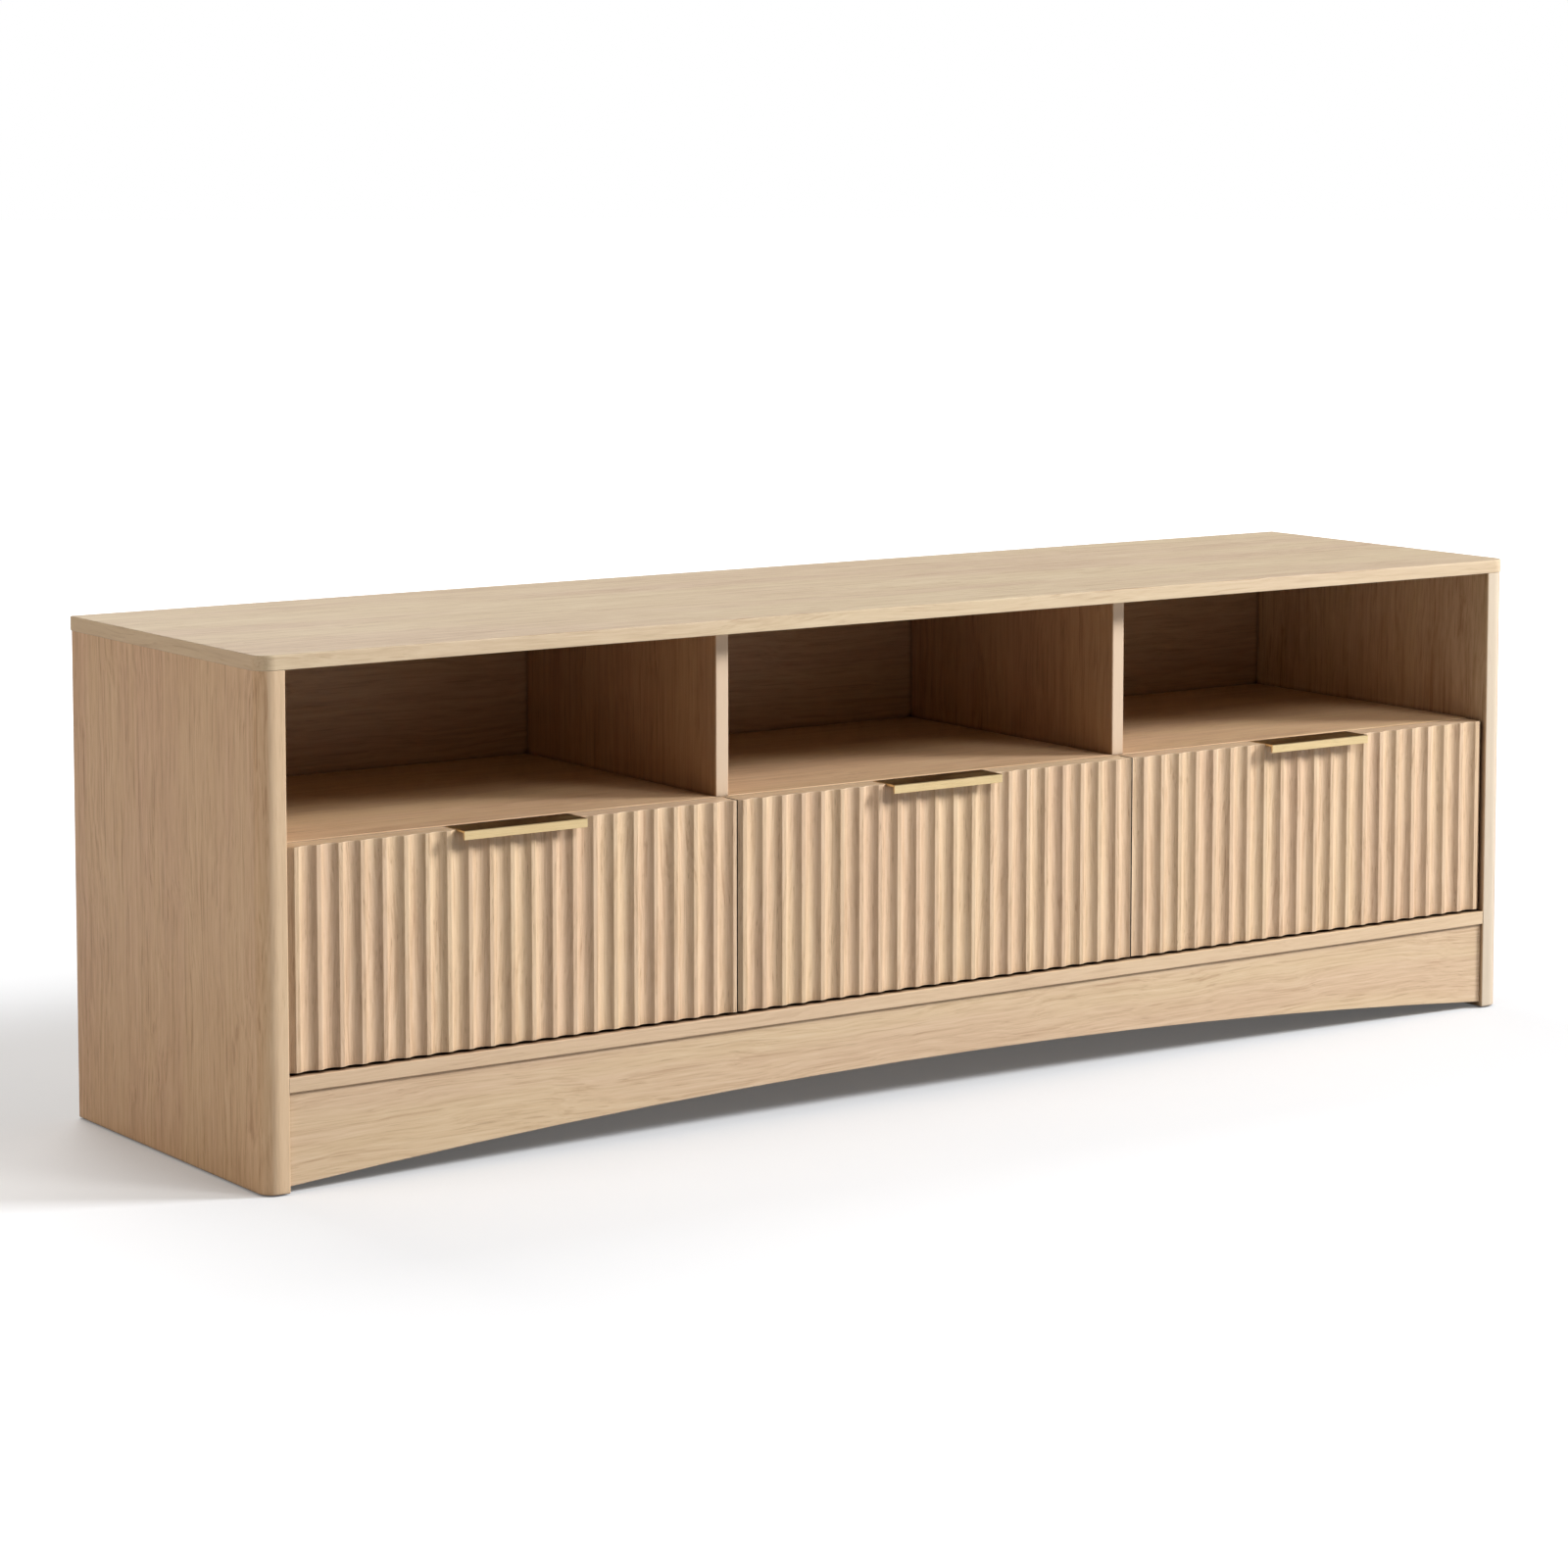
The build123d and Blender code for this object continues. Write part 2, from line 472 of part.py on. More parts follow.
    # folded brass pull: leg behind the front, flange over its top edge, lip in front of the flutes
    lip_y = front_y - pull_reach
    flange_z = leg_z + pull_sheet
    with BuildPart() as pull:
        with BuildSketch(Plane.YZ.offset(front_mid - pull_length / 2)):
            with BuildLine():
                Polyline(
                    (leg_face_y, flange_z),
                    (lip_y, flange_z),
                    (lip_y, flange_z - pull_lip),
                    (lip_y + pull_sheet, flange_z - pull_lip),
                    (lip_y + pull_sheet, leg_z),
                    (leg_face_y - pull_sheet, leg_z),
                    (leg_face_y - pull_sheet, flange_z - pull_leg),
                    (leg_face_y, flange_z - pull_leg),
                    close=True,
                )
            make_face()
        extrude(amount=pull_length)
        along = pull.edges().filter_by(Axis.X)
        chamfer(along.filter_by_position(Axis.Y, lip_y - 0.01, lip_y + 0.01).sort_by(Axis.Z)[-1], 0.8)
        fillet(pull.edges().filter_by(Axis.X).filter_by_position(Axis.Z, flange_z - pull_lip - 0.01, flange_z - pull_lip + 0.01), 0.4)
        fillet(pull.edges().filter_by(Axis.X).sort_by(Axis.Z)[-2:].sort_by(Axis.Y)[-1], 0.6)
        with Locations(*[Location(p[:3], turn["+y"]) for p in pull_sites]):
            Cylinder(2.0, 10, mode=Mode.SUBTRACT)
    pull.part.label = name + "_drawer_pull"
    export_step(pull.part, "parts/" + name + "_drawer_pull.step")

    # short screws: inner slide members and the pull
    with BuildPart() as drawer_screws:
        add_screws(small_sites + pull_sites)
    drawer_screws.part.label = name + "_drawer_screws"
    export_step(drawer_screws.part, "parts/" + name + "_drawer_screws.step")

    # long screws: inner front to fluted front
    with BuildPart() as front_screws:
        add_screws(front_fix_sites, shank=30.0, r=2.0, head_r=4.0, head_h=2.2)
    front_screws.part.label = name + "_front_screws"
    export_step(front_screws.part, "parts/" + name + "_front_screws.step")

    # inner slide members, on the drawer box
    with BuildPart() as inner_slides:
        for wall, side in ((x0, 1), (x1, -1)):
            with BuildSketch(Plane.XZ.offset(-slide_start_y)):
                with BuildLine():
                    Polyline(*[(wall + side * t, slide_centre_z + z) for t, z in inner_section], close=True)
                make_face()
            extrude(amount=-slide_length)
        with Locations(*[Location(p[:3], turn[p[3]]) for p in small_sites]):
            Cylinder(2.0, 6, mode=Mode.SUBTRACT)
    inner_slides.part.label = name + "_inner_slides"
    export_step(inner_slides.part, "parts/" + name + "_inner_slides.step")

    # middle slide members, which travel half as far
    with BuildPart() as middle_slides:
        for wall, side in ((x0, 1), (x1, -1)):
            with BuildSketch(Plane.XZ.offset(-slide_start_y)):
                with BuildLine():
                    Polyline(*[(wall + side * t, slide_centre_z + z) for t, z in middle_section], close=True)
                make_face()
            extrude(amount=-slide_length)
    middle_slides.part.label = name + "_middle_slides"
    export_step(middle_slides.part, "parts/" + name + "_middle_slides.step")

    # outer slide members, on the bay walls
    with BuildPart() as outer_slides:
        for wall, side in ((x0, 1), (x1, -1)):
            with BuildSketch(Plane.XZ.offset(-slide_start_y)):
                with BuildLine():
                    Polyline(*[(wall + side * t, slide_centre_z + z) for t, z in outer_section], close=True)
                make_face()
            extrude(amount=-slide_length)
        with Locations(*[Location((x, y, slide_centre_z), (0, 90, 0)) for x in (x0, x1) for y in slide_holes_y]):
            Cylinder(2.0, 6, mode=Mode.SUBTRACT)
    outer_slides.part.label = name + "_outer_slides"
    export_step(outer_slides.part, "parts/" + name + "_outer_slides.step")
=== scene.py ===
import bpy, math
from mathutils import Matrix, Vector

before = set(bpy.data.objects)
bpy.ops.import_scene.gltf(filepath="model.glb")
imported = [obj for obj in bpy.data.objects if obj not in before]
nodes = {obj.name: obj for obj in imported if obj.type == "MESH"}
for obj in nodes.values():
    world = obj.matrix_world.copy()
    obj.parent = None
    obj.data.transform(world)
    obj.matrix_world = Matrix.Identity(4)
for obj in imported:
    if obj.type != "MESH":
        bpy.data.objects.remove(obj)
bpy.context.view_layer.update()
scene = bpy.context.scene
scene.view_settings.view_transform = "Standard"
scene.view_settings.look = "None"
scene.view_settings.exposure = 0.0
scene.view_settings.gamma = 1.0

# ------------------------------------------------------------------ camera
cam_data = bpy.data.cameras.new("camera")
cam = bpy.data.objects.new("camera", cam_data)
scene.collection.objects.link(cam)
cam_data.sensor_width = 36.0
cam_data.lens = 100.0132
cam_data.shift_y = -0.15
cam_data.clip_start, cam_data.clip_end = 0.05, 200.0
cam.location = (-2.68864, -3.81038, 1.01807)
cam.rotation_euler = (math.radians(90.0 - 5.6325), 0.0, math.radians(-34.5454))
scene.camera = cam


# ------------------------------------------------------------------ node helpers
class Mat:
    """Small helper that builds one node material."""

    def __init__(self, name):
        self.m = bpy.data.materials.new(name)
        self.m.use_nodes = True
        self.t = self.m.node_tree
        self.t.nodes.clear()
        self.out = self.t.nodes.new("ShaderNodeOutputMaterial")
        self.b = self.t.nodes.new("ShaderNodeBsdfPrincipled")
        self.t.links.new(self.b.outputs[0], self.out.inputs[0])
        self.tc = self.t.nodes.new("ShaderNodeTexCoord")
        self.P = self.tc.outputs["Object"]
        self.N = self.tc.outputs["Normal"]
        self._xyz = {}

    def put(self, sock, v):
        if isinstance(v, bpy.types.NodeSocket):
            self.t.links.new(v, sock)
        elif isinstance(v, (tuple, list)) and len(v) == 3 and sock.type == "RGBA":
            sock.default_value = (*v, 1.0)
        else:
            sock.default_value = v

    def math(self, op, a, b=0.0, c=None, clamp=False):
        n = self.t.nodes.new("ShaderNodeMath")
        n.operation = op
        n.use_clamp = clamp
        self.put(n.inputs[0], a)
        self.put(n.inputs[1], b)
        if c is not None:
            self.put(n.inputs[2], c)
        return n.outputs[0]

    def xyz(self, v):
        k = v
        if k not in self._xyz:
            n = self.t.nodes.new("ShaderNodeSeparateXYZ")
            self.t.links.new(v, n.inputs[0])
            self._xyz[k] = n.outputs
        return self._xyz[k]

    def vec(self, x, y, z):
        n = self.t.nodes.new("ShaderNodeCombineXYZ")
        for i, v in enumerate((x, y, z)):
            self.put(n.inputs[i], v)
        return n.outputs[0]

    def noise(self, v, scale=1.0, detail=2.0, rough=0.5, dist=0.0):
        n = self.t.nodes.new("ShaderNodeTexNoise")
        n.noise_dimensions = "3D"
        self.put(n.inputs["Vector"], v)
        n.inputs["Scale"].default_value = scale
        n.inputs["Detail"].default_value = detail
        n.inputs["Roughness"].default_value = rough
        n.inputs["Distortion"].default_value = dist
        return n.outputs["Fac"]

    def rng(self, v, a, b, c=0.0, d=1.0):
        n = self.t.nodes.new("ShaderNodeMapRange")
        n.interpolation_type = "SMOOTHSTEP"
        for i, x in enumerate((v, a, b, c, d)):
            self.put(n.inputs[i], x)
        return n.outputs[0]

    def mix(self, f, a, b, mode="MIX"):
        n = self.t.nodes.new("ShaderNodeMix")
        n.data_type = "RGBA"
        n.blend_type = mode
        n.clamp_factor = True
        self.put(n.inputs["Factor"], f)
        ins = [s for s in n.inputs if s.type == "RGBA"]
        self.put(ins[0], a)
        self.put(ins[1], b)
        return [s for s in n.outputs if s.type == "RGBA"][0]

    def ramp(self, f, stops):
        n = self.t.nodes.new("ShaderNodeValToRGB")
        self.put(n.inputs[0], f)
        e = n.color_ramp.elements
        while len(e) < len(stops):
            e.new(0.5)
        for el, (p, c) in zip(e, stops):
            el.position = p
            el.color = (*c, 1.0)
        return n.outputs[0]

    def bump(self, h, strength, dist, normal=None):
        n = self.t.nodes.new("ShaderNodeBump")
        n.inputs["Strength"].default_value = strength
        n.inputs["Distance"].default_value = dist
        self.put(n.inputs["Height"], h)
        if normal is not None:
            self.t.links.new(normal, n.inputs["Normal"])
        return n.outputs[0]

    def edge(self, radius=0.0016):
        """About 1 on arrises and 0 on flats, from how a small bevel would turn the normal."""
        n = self.t.nodes.new("ShaderNodeBevel")
        n.samples = 4
        n.inputs["Radius"].default_value = radius
        g = self.t.nodes.new("ShaderNodeNewGeometry")
        d = self.t.nodes.new("ShaderNodeVectorMath")
        d.operation = "DOT_PRODUCT"
        self.t.links.new(n.outputs[0], d.inputs[0])
        self.t.links.new(g.outputs["Normal"], d.inputs[1])
        return self.rng(d.outputs["Value"], 0.995, 0.85)


    def joint(self, reach=0.009, low=0.22, high=0.80):
        """1 in the open, falling towards 0 down in the joints and narrow gaps: an occlusion mask for painted shade.
        """
        n = self.t.nodes.new("ShaderNodeAmbientOcclusion")
        n.samples = 6
        n.inputs["Distance"].default_value = reach
        return self.rng(n.outputs["AO"], low, high)


def lin(r, g, b):
    return tuple(((v / 255) / 12.92 if v / 255 <= 0.04045 else ((v / 255 + 0.055) / 1.055) ** 2.4) for v in (r, g, b))


def wood(name, grain, seed=0.0, dark=(150, 112, 76), mid=(203, 168, 128), light=(224, 196, 158),
         amp=1.0, figure=1.0, end=None, band=None, rough=0.40, edge=0.55, fleck=0.22, spread=1.0, short=1.0, gloss=0.42, painted_end_shade=False, painted_scoop_shade=False, painted_outer_shade=None):
    """Oak with its grain along one axis.
    grain: "X", "Y" or "Z". end: what faces square to the grain show. band: tint of the narrow edge faces."""
    k = Mat(name)
    x, y, z = k.xyz(k.P)
    nx, ny, nz = k.xyz(k.N)

    def along(g):
        """Coordinates with u along the grain and v, w across it, offset by the seed."""
        u, v, w = {"X": (x, y, z), "Y": (y, x, z), "Z": (z, x, y)}[g]
        return u, v, w

    def field(g, s):
        u, v, w = along(g)
        u = k.math("ADD", u, 3.7 + s)
        v = k.math("ADD", v, 1.3 + 2.1 * s)
        w = k.math("ADD", w, 5.9 - 1.7 * s)
        # slow waves of the fibres, and a quicker waver on top
        slow = k.noise(k.vec(k.math("MULTIPLY", u, 2.2), k.math("MULTIPLY", v, 7.0), k.math("MULTIPLY", w, 7.0)), 1.0, 2.0, 0.5)
        quick = k.noise(k.vec(k.math("MULTIPLY", u, 14.0), k.math("MULTIPLY", v, 26.0), k.math("MULTIPLY", w, 26.0)), 1.0, 1.0, 0.5)
        sway = k.math("ADD", k.math("MULTIPLY", k.math("SUBTRACT", slow, 0.5), 0.050 * figure),
                      k.math("MULTIPLY", k.math("SUBTRACT", quick, 0.5), 0.0055))
        v2, w2 = k.math("ADD", v, sway), k.math("ADD", w, sway)
        # broad tone zones of the boards, growth streaks, fine fibres
        zone = k.noise(k.vec(k.math("MULTIPLY", u, 1.6), k.math("MULTIPLY", v2, 16.0 * spread), k.math("MULTIPLY", w2, 16.0 * spread)), 1.0, 2.0, 0.55)
        growth = k.noise(k.vec(k.math("MULTIPLY", u, 5.5 * short), k.math("MULTIPLY", v2, 190.0 * spread), k.math("MULTIPLY", w2, 190.0 * spread)), 1.0, 3.0, 0.65)
        fibre = k.noise(k.vec(k.math("MULTIPLY", u, 24.0 * short), k.math("MULTIPLY", v2, 560.0), k.math("MULTIPLY", w2, 560.0)), 1.0, 2.0, 0.6)
        pore = k.noise(k.vec(k.math("MULTIPLY", u, 42.0 * short), k.math("MULTIPLY", v2, 900.0), k.math("MULTIPLY", w2, 900.0)), 1.0, 1.0, 0.5)
        line = k.noise(k.vec(k.math("MULTIPLY", u, 3.4 * short), k.math("MULTIPLY", v2, 330.0), k.math("MULTIPLY", w2, 330.0)), 1.0, 1.0, 0.5)
        return zone, growth, fibre, pore, line

    zone, growth, fibre, pore, line = field(grain, seed)
    if end:
        m = {"X": nx, "Y": ny, "Z": nz}[grain]
        m = k.rng(k.math("ABSOLUTE", m), 0.70, 0.72)
        other = field(end, seed + 0.37)
        mixed = []
        for a, b in zip((zone, growth, fibre, pore, line), other):
            mixed.append(k.math("ADD", k.math("MULTIPLY", a, k.math("SUBTRACT", 1.0, m)), k.math("MULTIPLY", b, m)))
        zone, growth, fibre, pore, line = mixed
    f = k.math("ADD", 0.5, k.math("MULTIPLY", k.math("SUBTRACT", zone, 0.5), 0.34 * amp))
    f = k.math("ADD", f, k.math("MULTIPLY", k.math("SUBTRACT", growth, 0.5), 0.85 * amp))
    f = k.math("ADD", f, k.math("MULTIPLY", k.math("SUBTRACT", fibre, 0.5), 0.60 * amp), clamp=True)
    col = k.ramp(f, [(0.0, lin(*dark)), (0.5, lin(*mid)), (1.0, lin(*light))])
    # boards lean to gold or to rose, and a few thin brown lines run along the grain
    col = k.mix(1.0, col, k.mix(k.rng(zone, 0.36, 0.64), (1.0, 0.965, 0.960), (1.0, 0.990, 0.935)), "MULTIPLY")
    lm = k.math("MULTIPLY", k.rng(line, 0.60, 0.72), 0.34 * amp, clamp=True)
    col = k.mix(lm, col, lin(dark[0] * 0.92, dark[1] * 0.84, dark[2] * 0.78))
    pm = k.math("MULTIPLY", k.rng(pore, 0.60, 0.74), k.rng(growth, 0.62, 0.40))
    col = k.mix(k.math("MULTIPLY", pm, fleck), col, lin(dark[0] * 0.72, dark[1] * 0.68, dark[2] * 0.62))
    if band:
        axis, tint, amount = band
        bm = k.rng(k.math("ABSOLUTE", {"X": nx, "Y": ny, "Z": nz}[axis]), 0.55, 0.35)
        col = k.mix(k.math("MULTIPLY", bm, amount), col, lin(*tint))
    # lighter arrises: partly wear, partly painted highlight, strongest on the drawer fronts
    if edge:
        em = k.edge()
        wear_and_highlight = k.math("MULTIPLY", em, k.rng(k.noise(k.P, 60.0, 3.0, 0.6), 0.3, 0.7, edge * 0.5, edge))
        col = k.mix(wear_and_highlight, col, lin(min(255, light[0] + 12), min(255, light[1] + 12), min(255, light[2] + 10)))
    # painted shade: the oak goes dark brown down in joints and narrow gaps, where shade falls
    col = k.mix(k.joint(), k.mix(1.0, col, (0.20, 0.125, 0.08), "MULTIPLY"), col)
    if painted_outer_shade:
        # painted shade: the face towards +X is made darker, for the strong light that falls on it
        col = k.mix(k.rng(nx, 0.35, 0.65), col, k.mix(1.0, col, painted_outer_shade, "MULTIPLY"))
    if painted_scoop_shade:
        # painted shade: the hollows go darker and warmer than the ridges between them, by ambient occlusion
        col = k.mix(k.joint(0.020, 0.84, 0.99), k.mix(1.0, col, (0.85, 0.81, 0.76), "MULTIPLY"), col)
    if painted_end_shade:
        # painted shade: the upright end faces go nearly black while another front stands close beside them
        end_shade_mask = k.math("MULTIPLY", k.rng(k.math("ABSOLUTE", nx), 0.90, 0.95), k.math("SUBTRACT", 1.0, k.joint(0.030, 0.60, 0.97)))
        col = k.mix(end_shade_mask, col, k.mix(1.0, col, (0.10, 0.05, 0.02), "MULTIPLY"))
    k.put(k.b.inputs["Base Color"], col)
    r = k.math("ADD", rough, k.math("MULTIPLY", k.math("SUBTRACT", fibre, 0.5), 0.25))
    k.put(k.b.inputs["Roughness"], k.math("ADD", r, k.math("MULTIPLY", pm, 0.2)))
    k.b.inputs["Specular IOR Level"].default_value = gloss
    h = k.math("SUBTRACT", k.math("ADD", k.math("MULTIPLY", fibre, 0.6), k.math("MULTIPLY", growth, 0.4)), k.math("MULTIPLY", pm, 0.7))
    k.put(k.b.inputs["Normal"], k.bump(h, 0.35, 0.00035))
    return k.m


def plywood(name, thick_axis, face_grain, seed=0.0):
    """Birch plywood: pale faces, and plies that show on every edge."""
    k = Mat(name)
    x, y, z = k.xyz(k.P)
    nx, ny, nz = k.xyz(k.N)
    ax = {"X": x, "Y": y, "Z": z}
    nn = {"X": nx, "Y": ny, "Z": nz}
    u = ax[face_grain]
    v, w = [ax[a] for a in "XYZ" if a != face_grain]
    fib = k.noise(k.vec(k.math("MULTIPLY", u, 5.0), k.math("MULTIPLY", v, 160.0), k.math("MULTIPLY", w, 160.0 + seed)), 1.0, 3.0, 0.55)
    cloud = k.noise(k.vec(k.math("MULTIPLY", u, 5.0), k.math("MULTIPLY", v, 14.0), k.math("MULTIPLY", w, 14.0)), 1.0, 3.0, 0.6)
    face = k.ramp(k.math("ADD", k.math("MULTIPLY", fib, 0.5), k.math("MULTIPLY", cloud, 0.5)),
                  [(0.25, lin(186, 154, 118)), (0.5, lin(208, 180, 144)), (0.8, lin(222, 198, 166))])
    t = ax[thick_axis]
    jitter = k.math("MULTIPLY", k.math("SUBTRACT", k.noise(k.P, 9.0, 1.0, 0.5), 0.5), 0.0006)
    ply = k.math("PINGPONG", k.math("ADD", t, jitter), 0.0013)
    stripe = k.rng(ply, 0.00045, 0.00085)
    grit = k.noise(k.P, 1500.0, 2.0, 0.6)
    edge_col = k.mix(stripe, k.mix(grit, lin(148, 108, 72), lin(176, 134, 94)), k.mix(grit, lin(214, 184, 144), lin(230, 205, 168)))
    is_face = k.rng(k.math("ABSOLUTE", nn[thick_axis]), 0.6, 0.7)
    col = k.mix(is_face, edge_col, face)
    k.put(k.b.inputs["Base Color"], col)
    k.put(k.b.inputs["Roughness"], k.math("ADD", 0.46, k.math("MULTIPLY", fib, 0.16)))
    k.b.inputs["Specular IOR Level"].default_value = 0.35
    k.put(k.b.inputs["Normal"], k.bump(k.math("ADD", fib, k.math("MULTIPLY", grit, 0.15)), 0.25, 0.0003))
    return k.m


def metal(name, base, dark, brush, rough, seed=0.0, aniso=0.0, smudge=0.25):
    """Metal with fine brushing along one axis, slow smudges and brighter edges, partly wear and partly painted
    highlight.
    """
    k = Mat(name)
    x, y, z = k.xyz(k.P)
    u, v, w = {"X": (x, y, z), "Y": (y, x, z), "Z": (z, x, y)}[brush]
    fine = k.noise(k.vec(k.math("MULTIPLY", u, 18.0), k.math("MULTIPLY", v, 2600.0), k.math("MULTIPLY", w, 2600.0)), 1.0, 2.0, 0.6)
    slow = k.noise(k.vec(k.math("ADD", k.math("MULTIPLY", u, 16.0), seed), k.math("MULTIPLY", v, 60.0), k.math("MULTIPLY", w, 60.0)), 1.0, 3.0, 0.6)
    f = k.math("ADD", k.math("MULTIPLY", fine, 0.55), k.math("MULTIPLY", slow, 0.45))
    col = k.mix(k.rng(f, 0.3, 0.72), dark, base)
    # brighter edges: partly wear, partly painted highlight
    col = k.mix(k.math("MULTIPLY", k.edge(0.0009), 0.75), col, tuple(min(1.0, c * 1.12) for c in base))
    k.put(k.b.inputs["Base Color"], col)
    k.b.inputs["Metallic"].default_value = 1.0
    r = k.math("ADD", rough, k.math("MULTIPLY", k.math("SUBTRACT", fine, 0.5), 0.12))
    k.put(k.b.inputs["Roughness"], k.math("ADD", r, k.math("MULTIPLY", k.rng(slow, 0.45, 0.75), smudge * 0.3)))
    k.b.inputs["Anisotropic"].default_value = aniso
    k.put(k.b.inputs["Normal"], k.bump(fine, 0.12, 0.00008))
    return k.m


def moulded(name, col_a, col_b, rough, grainy=900.0, sheen=0.0):
    """Moulded plastic or rubber: fine grain, slow tone changes."""
    k = Mat(name)
    g = k.noise(k.P, grainy, 2.0, 0.6)
    s = k.noise(k.P, 40.0, 2.0, 0.5)
    k.put(k.b.inputs["Base Color"], k.mix(k.math("ADD", k.math("MULTIPLY", g, 0.4), k.math("MULTIPLY", s, 0.6)), col_a, col_b))
    k.put(k.b.inputs["Roughness"], k.math("ADD", rough, k.math("MULTIPLY", g, 0.12)))
    k.b.inputs["Specular IOR Level"].default_value = 0.4
    k.put(k.b.inputs["Normal"], k.bump(g, 0.25, 0.0002))
    return k.m


# ------------------------------------------------------------------ materials on the CAD nodes
def paint(node, mat):
    ob = nodes[node]
    if not ob.material_slots:
        ob.data.materials.append(mat)
    for s in ob.material_slots:
        s.material = mat


INNER = dict(dark=(140, 104, 74), mid=(182, 144, 110), light=(202, 166, 132))
SHELF = dict(dark=(162, 126, 92), mid=(203, 170, 134), light=(220, 191, 158))
BACK = dict(dark=(136, 102, 70), mid=(180, 146, 110), light=(200, 168, 132))
OAK = dict(dark=(164, 130, 97), mid=(204, 175, 142), light=(222, 198, 168))
# painted shade: the top's oak is a darker, cooler copy of the other oak, for the stronger light that falls on the top
TOP_SHADED_COPY = dict(dark=(154, 127, 98), mid=(192, 171, 143), light=(210, 193, 167))
# painted light: the fronts' oak is a lighter copy of the other oak, making up for the painted shade in their hollows
# and at their ends
FLUTES_LIGHTENED_COPY = dict(dark=(170, 136, 102), mid=(212, 183, 151), light=(230, 206, 177))
LEFT = dict(dark=(168, 130, 95), mid=(209, 176, 140), light=(227, 199, 166))
PLINTH = dict(dark=(165, 133, 101), mid=(206, 179, 147), light=(224, 202, 173))
paint("top_panel", wood("oak_top", "X", 0.11, end="Y", band=("Z", (230, 204, 168), 0.35), amp=1.15, rough=0.42, gloss=0.40, spread=0.8, **TOP_SHADED_COPY))
paint("left_side_panel", wood("oak_left_side", "Z", 0.43, end="Y", band=("X", (214, 186, 152), 0.6), amp=1.2, short=1.3, **LEFT))
paint("right_side_panel", wood("oak_right_side", "Z", 1.27, end="Y", band=("X", (206, 190, 168), 0.85), amp=1.2, short=1.3, painted_outer_shade=(0.845, 0.835, 0.84), **OAK))
for i, n in enumerate(("left_upper_divider", "right_upper_divider", "left_lower_divider", "right_lower_divider")):
    paint(n, wood("oak_" + n, "Z", 2.1 + 0.61 * i, end="Y", band=("X", (212, 186, 158), 1.0), **INNER))
paint("middle_shelf", wood("oak_shelf", "X", 4.3, end="Y", band=("Z", (172, 139, 101), 0.8), **SHELF))
paint("bottom_panel", wood("oak_bottom", "X", 5.2, end="Y", band=("Z", (215, 188, 156), 0.5), **OAK))
paint("arched_plinth", wood("oak_plinth", "X", 6.4, end="Y", figure=1.1, amp=0.85, fleck=0.22, short=0.8, spread=1.25, **PLINTH))
paint("back_panel", wood("oak_back", "X", 7.7, end="Z", amp=0.8, **BACK))
paint("rear_rail", plywood("birch_rail", "Y", "X", 3.0))
paint("centre_leg", wood("beech_leg", "Z", 8.8, end="Y", dark=(170, 126, 88), mid=(208, 168, 128), light=(222, 188, 150), amp=0.6))
for i, b in enumerate(("left", "centre", "right")):
    paint(b + "_drawer_front", wood("oak_flutes_" + b, "Z", 9.3 + 0.83 * i, end="X", amp=0.95, figure=1.0, fleck=0.40, short=1.5, edge=0.85, painted_end_shade=True, painted_scoop_shade=True, **FLUTES_LIGHTENED_COPY))
    paint(b + "_drawer_left_side", plywood("birch_ls_" + b, "X", "Y", 1.0 + i))
    paint(b + "_drawer_right_side", plywood("birch_rs_" + b, "X", "Y", 5.0 + i))
    paint(b + "_drawer_inner_front", plywood("birch_if_" + b, "Y", "X", 9.0 + i))
    paint(b + "_drawer_back", plywood("birch_bk_" + b, "Y", "X", 12.0 + i))
    paint(b + "_drawer_bottom", plywood("birch_bt_" + b, "Z", "X", 15.0 + i))
brass = metal("satin_brass", (0.84, 0.65, 0.36), (0.70, 0.51, 0.26), "X", 0.29, 1.0, 0.4)
zinc = metal("zinc_steel", (0.74, 0.74, 0.73), (0.55, 0.55, 0.56), "Y", 0.30, 2.0, 0.2)
screw = metal("screw_steel", (0.72, 0.71, 0.68), (0.48, 0.47, 0.45), "Z", 0.34, 3.0)
for b in ("left", "centre", "right"):
    paint(b + "_drawer_pull", brass)
    for n in ("_inner_slides", "_middle_slides", "_outer_slides"):
        paint(b + n, zinc)
    for n in ("_drawer_screws", "_front_screws"):
        paint(b + n, screw)
for n in ("carcass_screws", "back_panel_screws"):
    paint(n, screw)
paint("angle_brackets", zinc)
paint("floor_glides", moulded("nylon_glide", lin(58, 48, 42), lin(84, 70, 60), 0.5))
paint("drawer_bumpers", moulded("rubber_bumper", lin(176, 172, 166), lin(202, 198, 190), 0.42))
paint("carcass_dowels", wood("beech_dowels", "Z", 12.4, dark=(170, 126, 88), mid=(212, 174, 132), light=(226, 192, 152), amp=0.6, edge=0))

# ------------------------------------------------------------------ floor and light
fm = Mat("studio_floor")
fl = fm.t.nodes.new("ShaderNodeLightPath")
grey = fm.mix(fm.noise(fm.P, 3.0, 2.0, 0.5), (0.60, 0.605, 0.61), (0.62, 0.62, 0.62))
fm.put(fm.b.inputs["Base Color"], fm.mix(fl.outputs["Is Diffuse Ray"], grey, (0.50, 0.50, 0.50)))
fm.put(fm.b.inputs["Roughness"], fm.math("ADD", 0.72, fm.math("MULTIPLY", fm.noise(fm.P, 40.0, 2.0, 0.5), 0.1)))
fm.b.inputs["Specular IOR Level"].default_value = 0.15
fx, fy, fz = fm.xyz(fm.P)
far = fm.math("SQRT", fm.math("ADD", fm.math("MULTIPLY", fx, fx), fm.math("MULTIPLY", fy, fy)))
fm.put(fm.b.inputs["Emission Color"], (1.0, 1.0, 1.0))
seen = fm.math("ADD", fl.outputs["Is Camera Ray"], fm.math("MULTIPLY", fl.outputs["Is Glossy Ray"], 0.22))
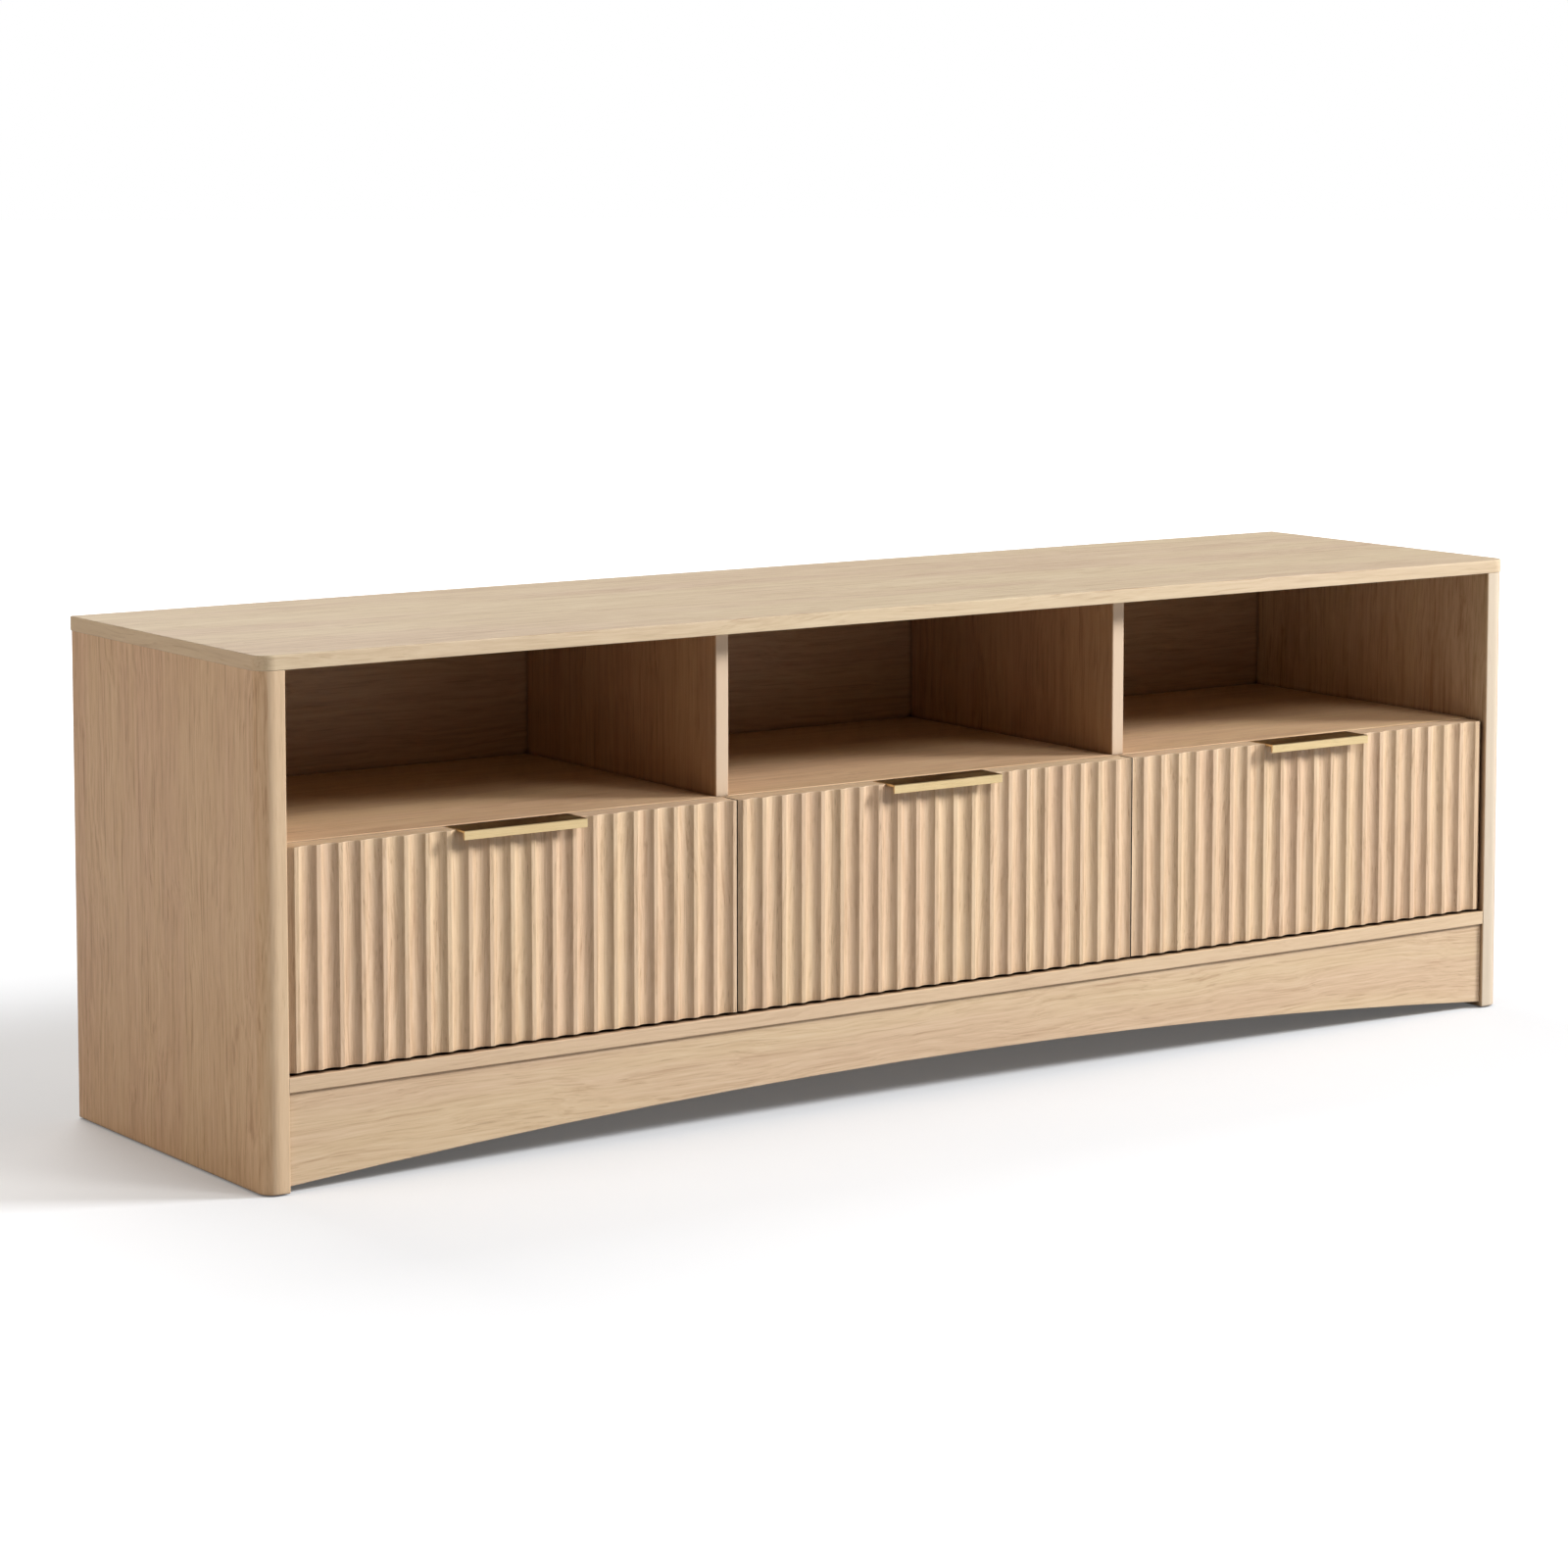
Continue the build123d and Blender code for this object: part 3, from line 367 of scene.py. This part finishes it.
# the glow stands for light from all round: what stands on the floor blocks it, but for what bounces in
ao = fm.t.nodes.new("ShaderNodeAmbientOcclusion")
ao.samples = 4
ao.inputs["Distance"].default_value = 0.30
fm.put(fm.b.inputs["Emission Strength"], fm.math("MULTIPLY", fm.math("MULTIPLY", fm.rng(far, 0.9, 4.0, 0.30, 1.1), seen), fm.rng(ao.outputs["AO"], 0.0, 1.0, 0.30, 1.0)))
me = bpy.data.meshes.new("studio_floor")
R, SEG = 40.0, 96
vs = [(0.0, 0.0, 0.0)] + [(R * math.cos(2 * math.pi * i / SEG), R * math.sin(2 * math.pi * i / SEG), 0.0) for i in range(SEG)]
me.from_pydata(vs, [], [(0, 1 + i, 1 + (i + 1) % SEG) for i in range(SEG)])
floor = bpy.data.objects.new("studio_floor", me)
me.materials.append(fm.m)
scene.collection.objects.link(floor)

world = bpy.data.worlds.new("studio")
scene.world = world
world.use_nodes = True
wt = world.node_tree
wt.nodes.clear()
wo = wt.nodes.new("ShaderNodeOutputWorld")
bg_light = wt.nodes.new("ShaderNodeBackground")
bg_seen = wt.nodes.new("ShaderNodeBackground")
bg_light.inputs["Color"].default_value = (1.0, 0.99, 0.975, 1.0)
bg_light.inputs["Strength"].default_value = 0.02
bg_seen.inputs["Color"].default_value = (1.0, 1.0, 1.0, 1.0)
bg_seen.inputs["Strength"].default_value = 1.0
lp = wt.nodes.new("ShaderNodeLightPath")
gm = wt.nodes.new("ShaderNodeMath")
gm.operation = "MULTIPLY_ADD"
wt.links.new(lp.outputs["Is Glossy Ray"], gm.inputs[0])
gm.inputs[1].default_value = 0.34
gm.inputs[2].default_value = 0.025
wt.links.new(gm.outputs[0], bg_light.inputs["Strength"])
ms = wt.nodes.new("ShaderNodeMixShader")
wt.links.new(lp.outputs["Is Camera Ray"], ms.inputs[0])
wt.links.new(bg_light.outputs[0], ms.inputs[1])
wt.links.new(bg_seen.outputs[0], ms.inputs[2])
wt.links.new(ms.outputs[0], wo.inputs[0])


def area(name, loc, target, size, power, color=(1, 1, 1), size_y=None):
    d = bpy.data.lights.new(name, "AREA")
    d.energy = power
    d.color = color
    d.size = size
    if size_y:
        d.shape = "RECTANGLE"
        d.size_y = size_y
    o = bpy.data.objects.new(name, d)
    o.location = loc
    o.rotation_mode = "QUATERNION"
    o.rotation_quaternion = (Vector(target) - Vector(loc)).to_track_quat("-Z", "Y")
    scene.collection.objects.link(o)
    return o


key = area("key_softbox", (8.647, -4.793, 5.072), (0, 0, 0.25), 2.6, 1560.0, (0.95, 0.995, 1.06))
key.visible_glossy = False
sheen = area("sheen_softbox", (5.184, -3.366, 3.536), (0, 0, 0.25), 2.6, 60.0, (1.0, 0.995, 0.985))
sheen.visible_diffuse = False
area("fill_softbox", (1.665, -3.571, 3.328), (0, 0, 0.25), 1.2, 84.0, (1.0, 0.985, 0.965))
area("front_softbox", (0.308, -3.522, 3.786), (0, 0, 0.25), 1.2, 24.0, (1.0, 0.995, 0.985))
area("back_softbox", (0.0, 2.5, 3.5), (0, 0, 0.25), 2.0, 88.0, (1.0, 1.0, 1.0))
area("side_softbox", (-4.213, 0.369, 1.789), (0, 0, 0.25), 2.0, 55.0, (1.0, 0.85, 0.72))
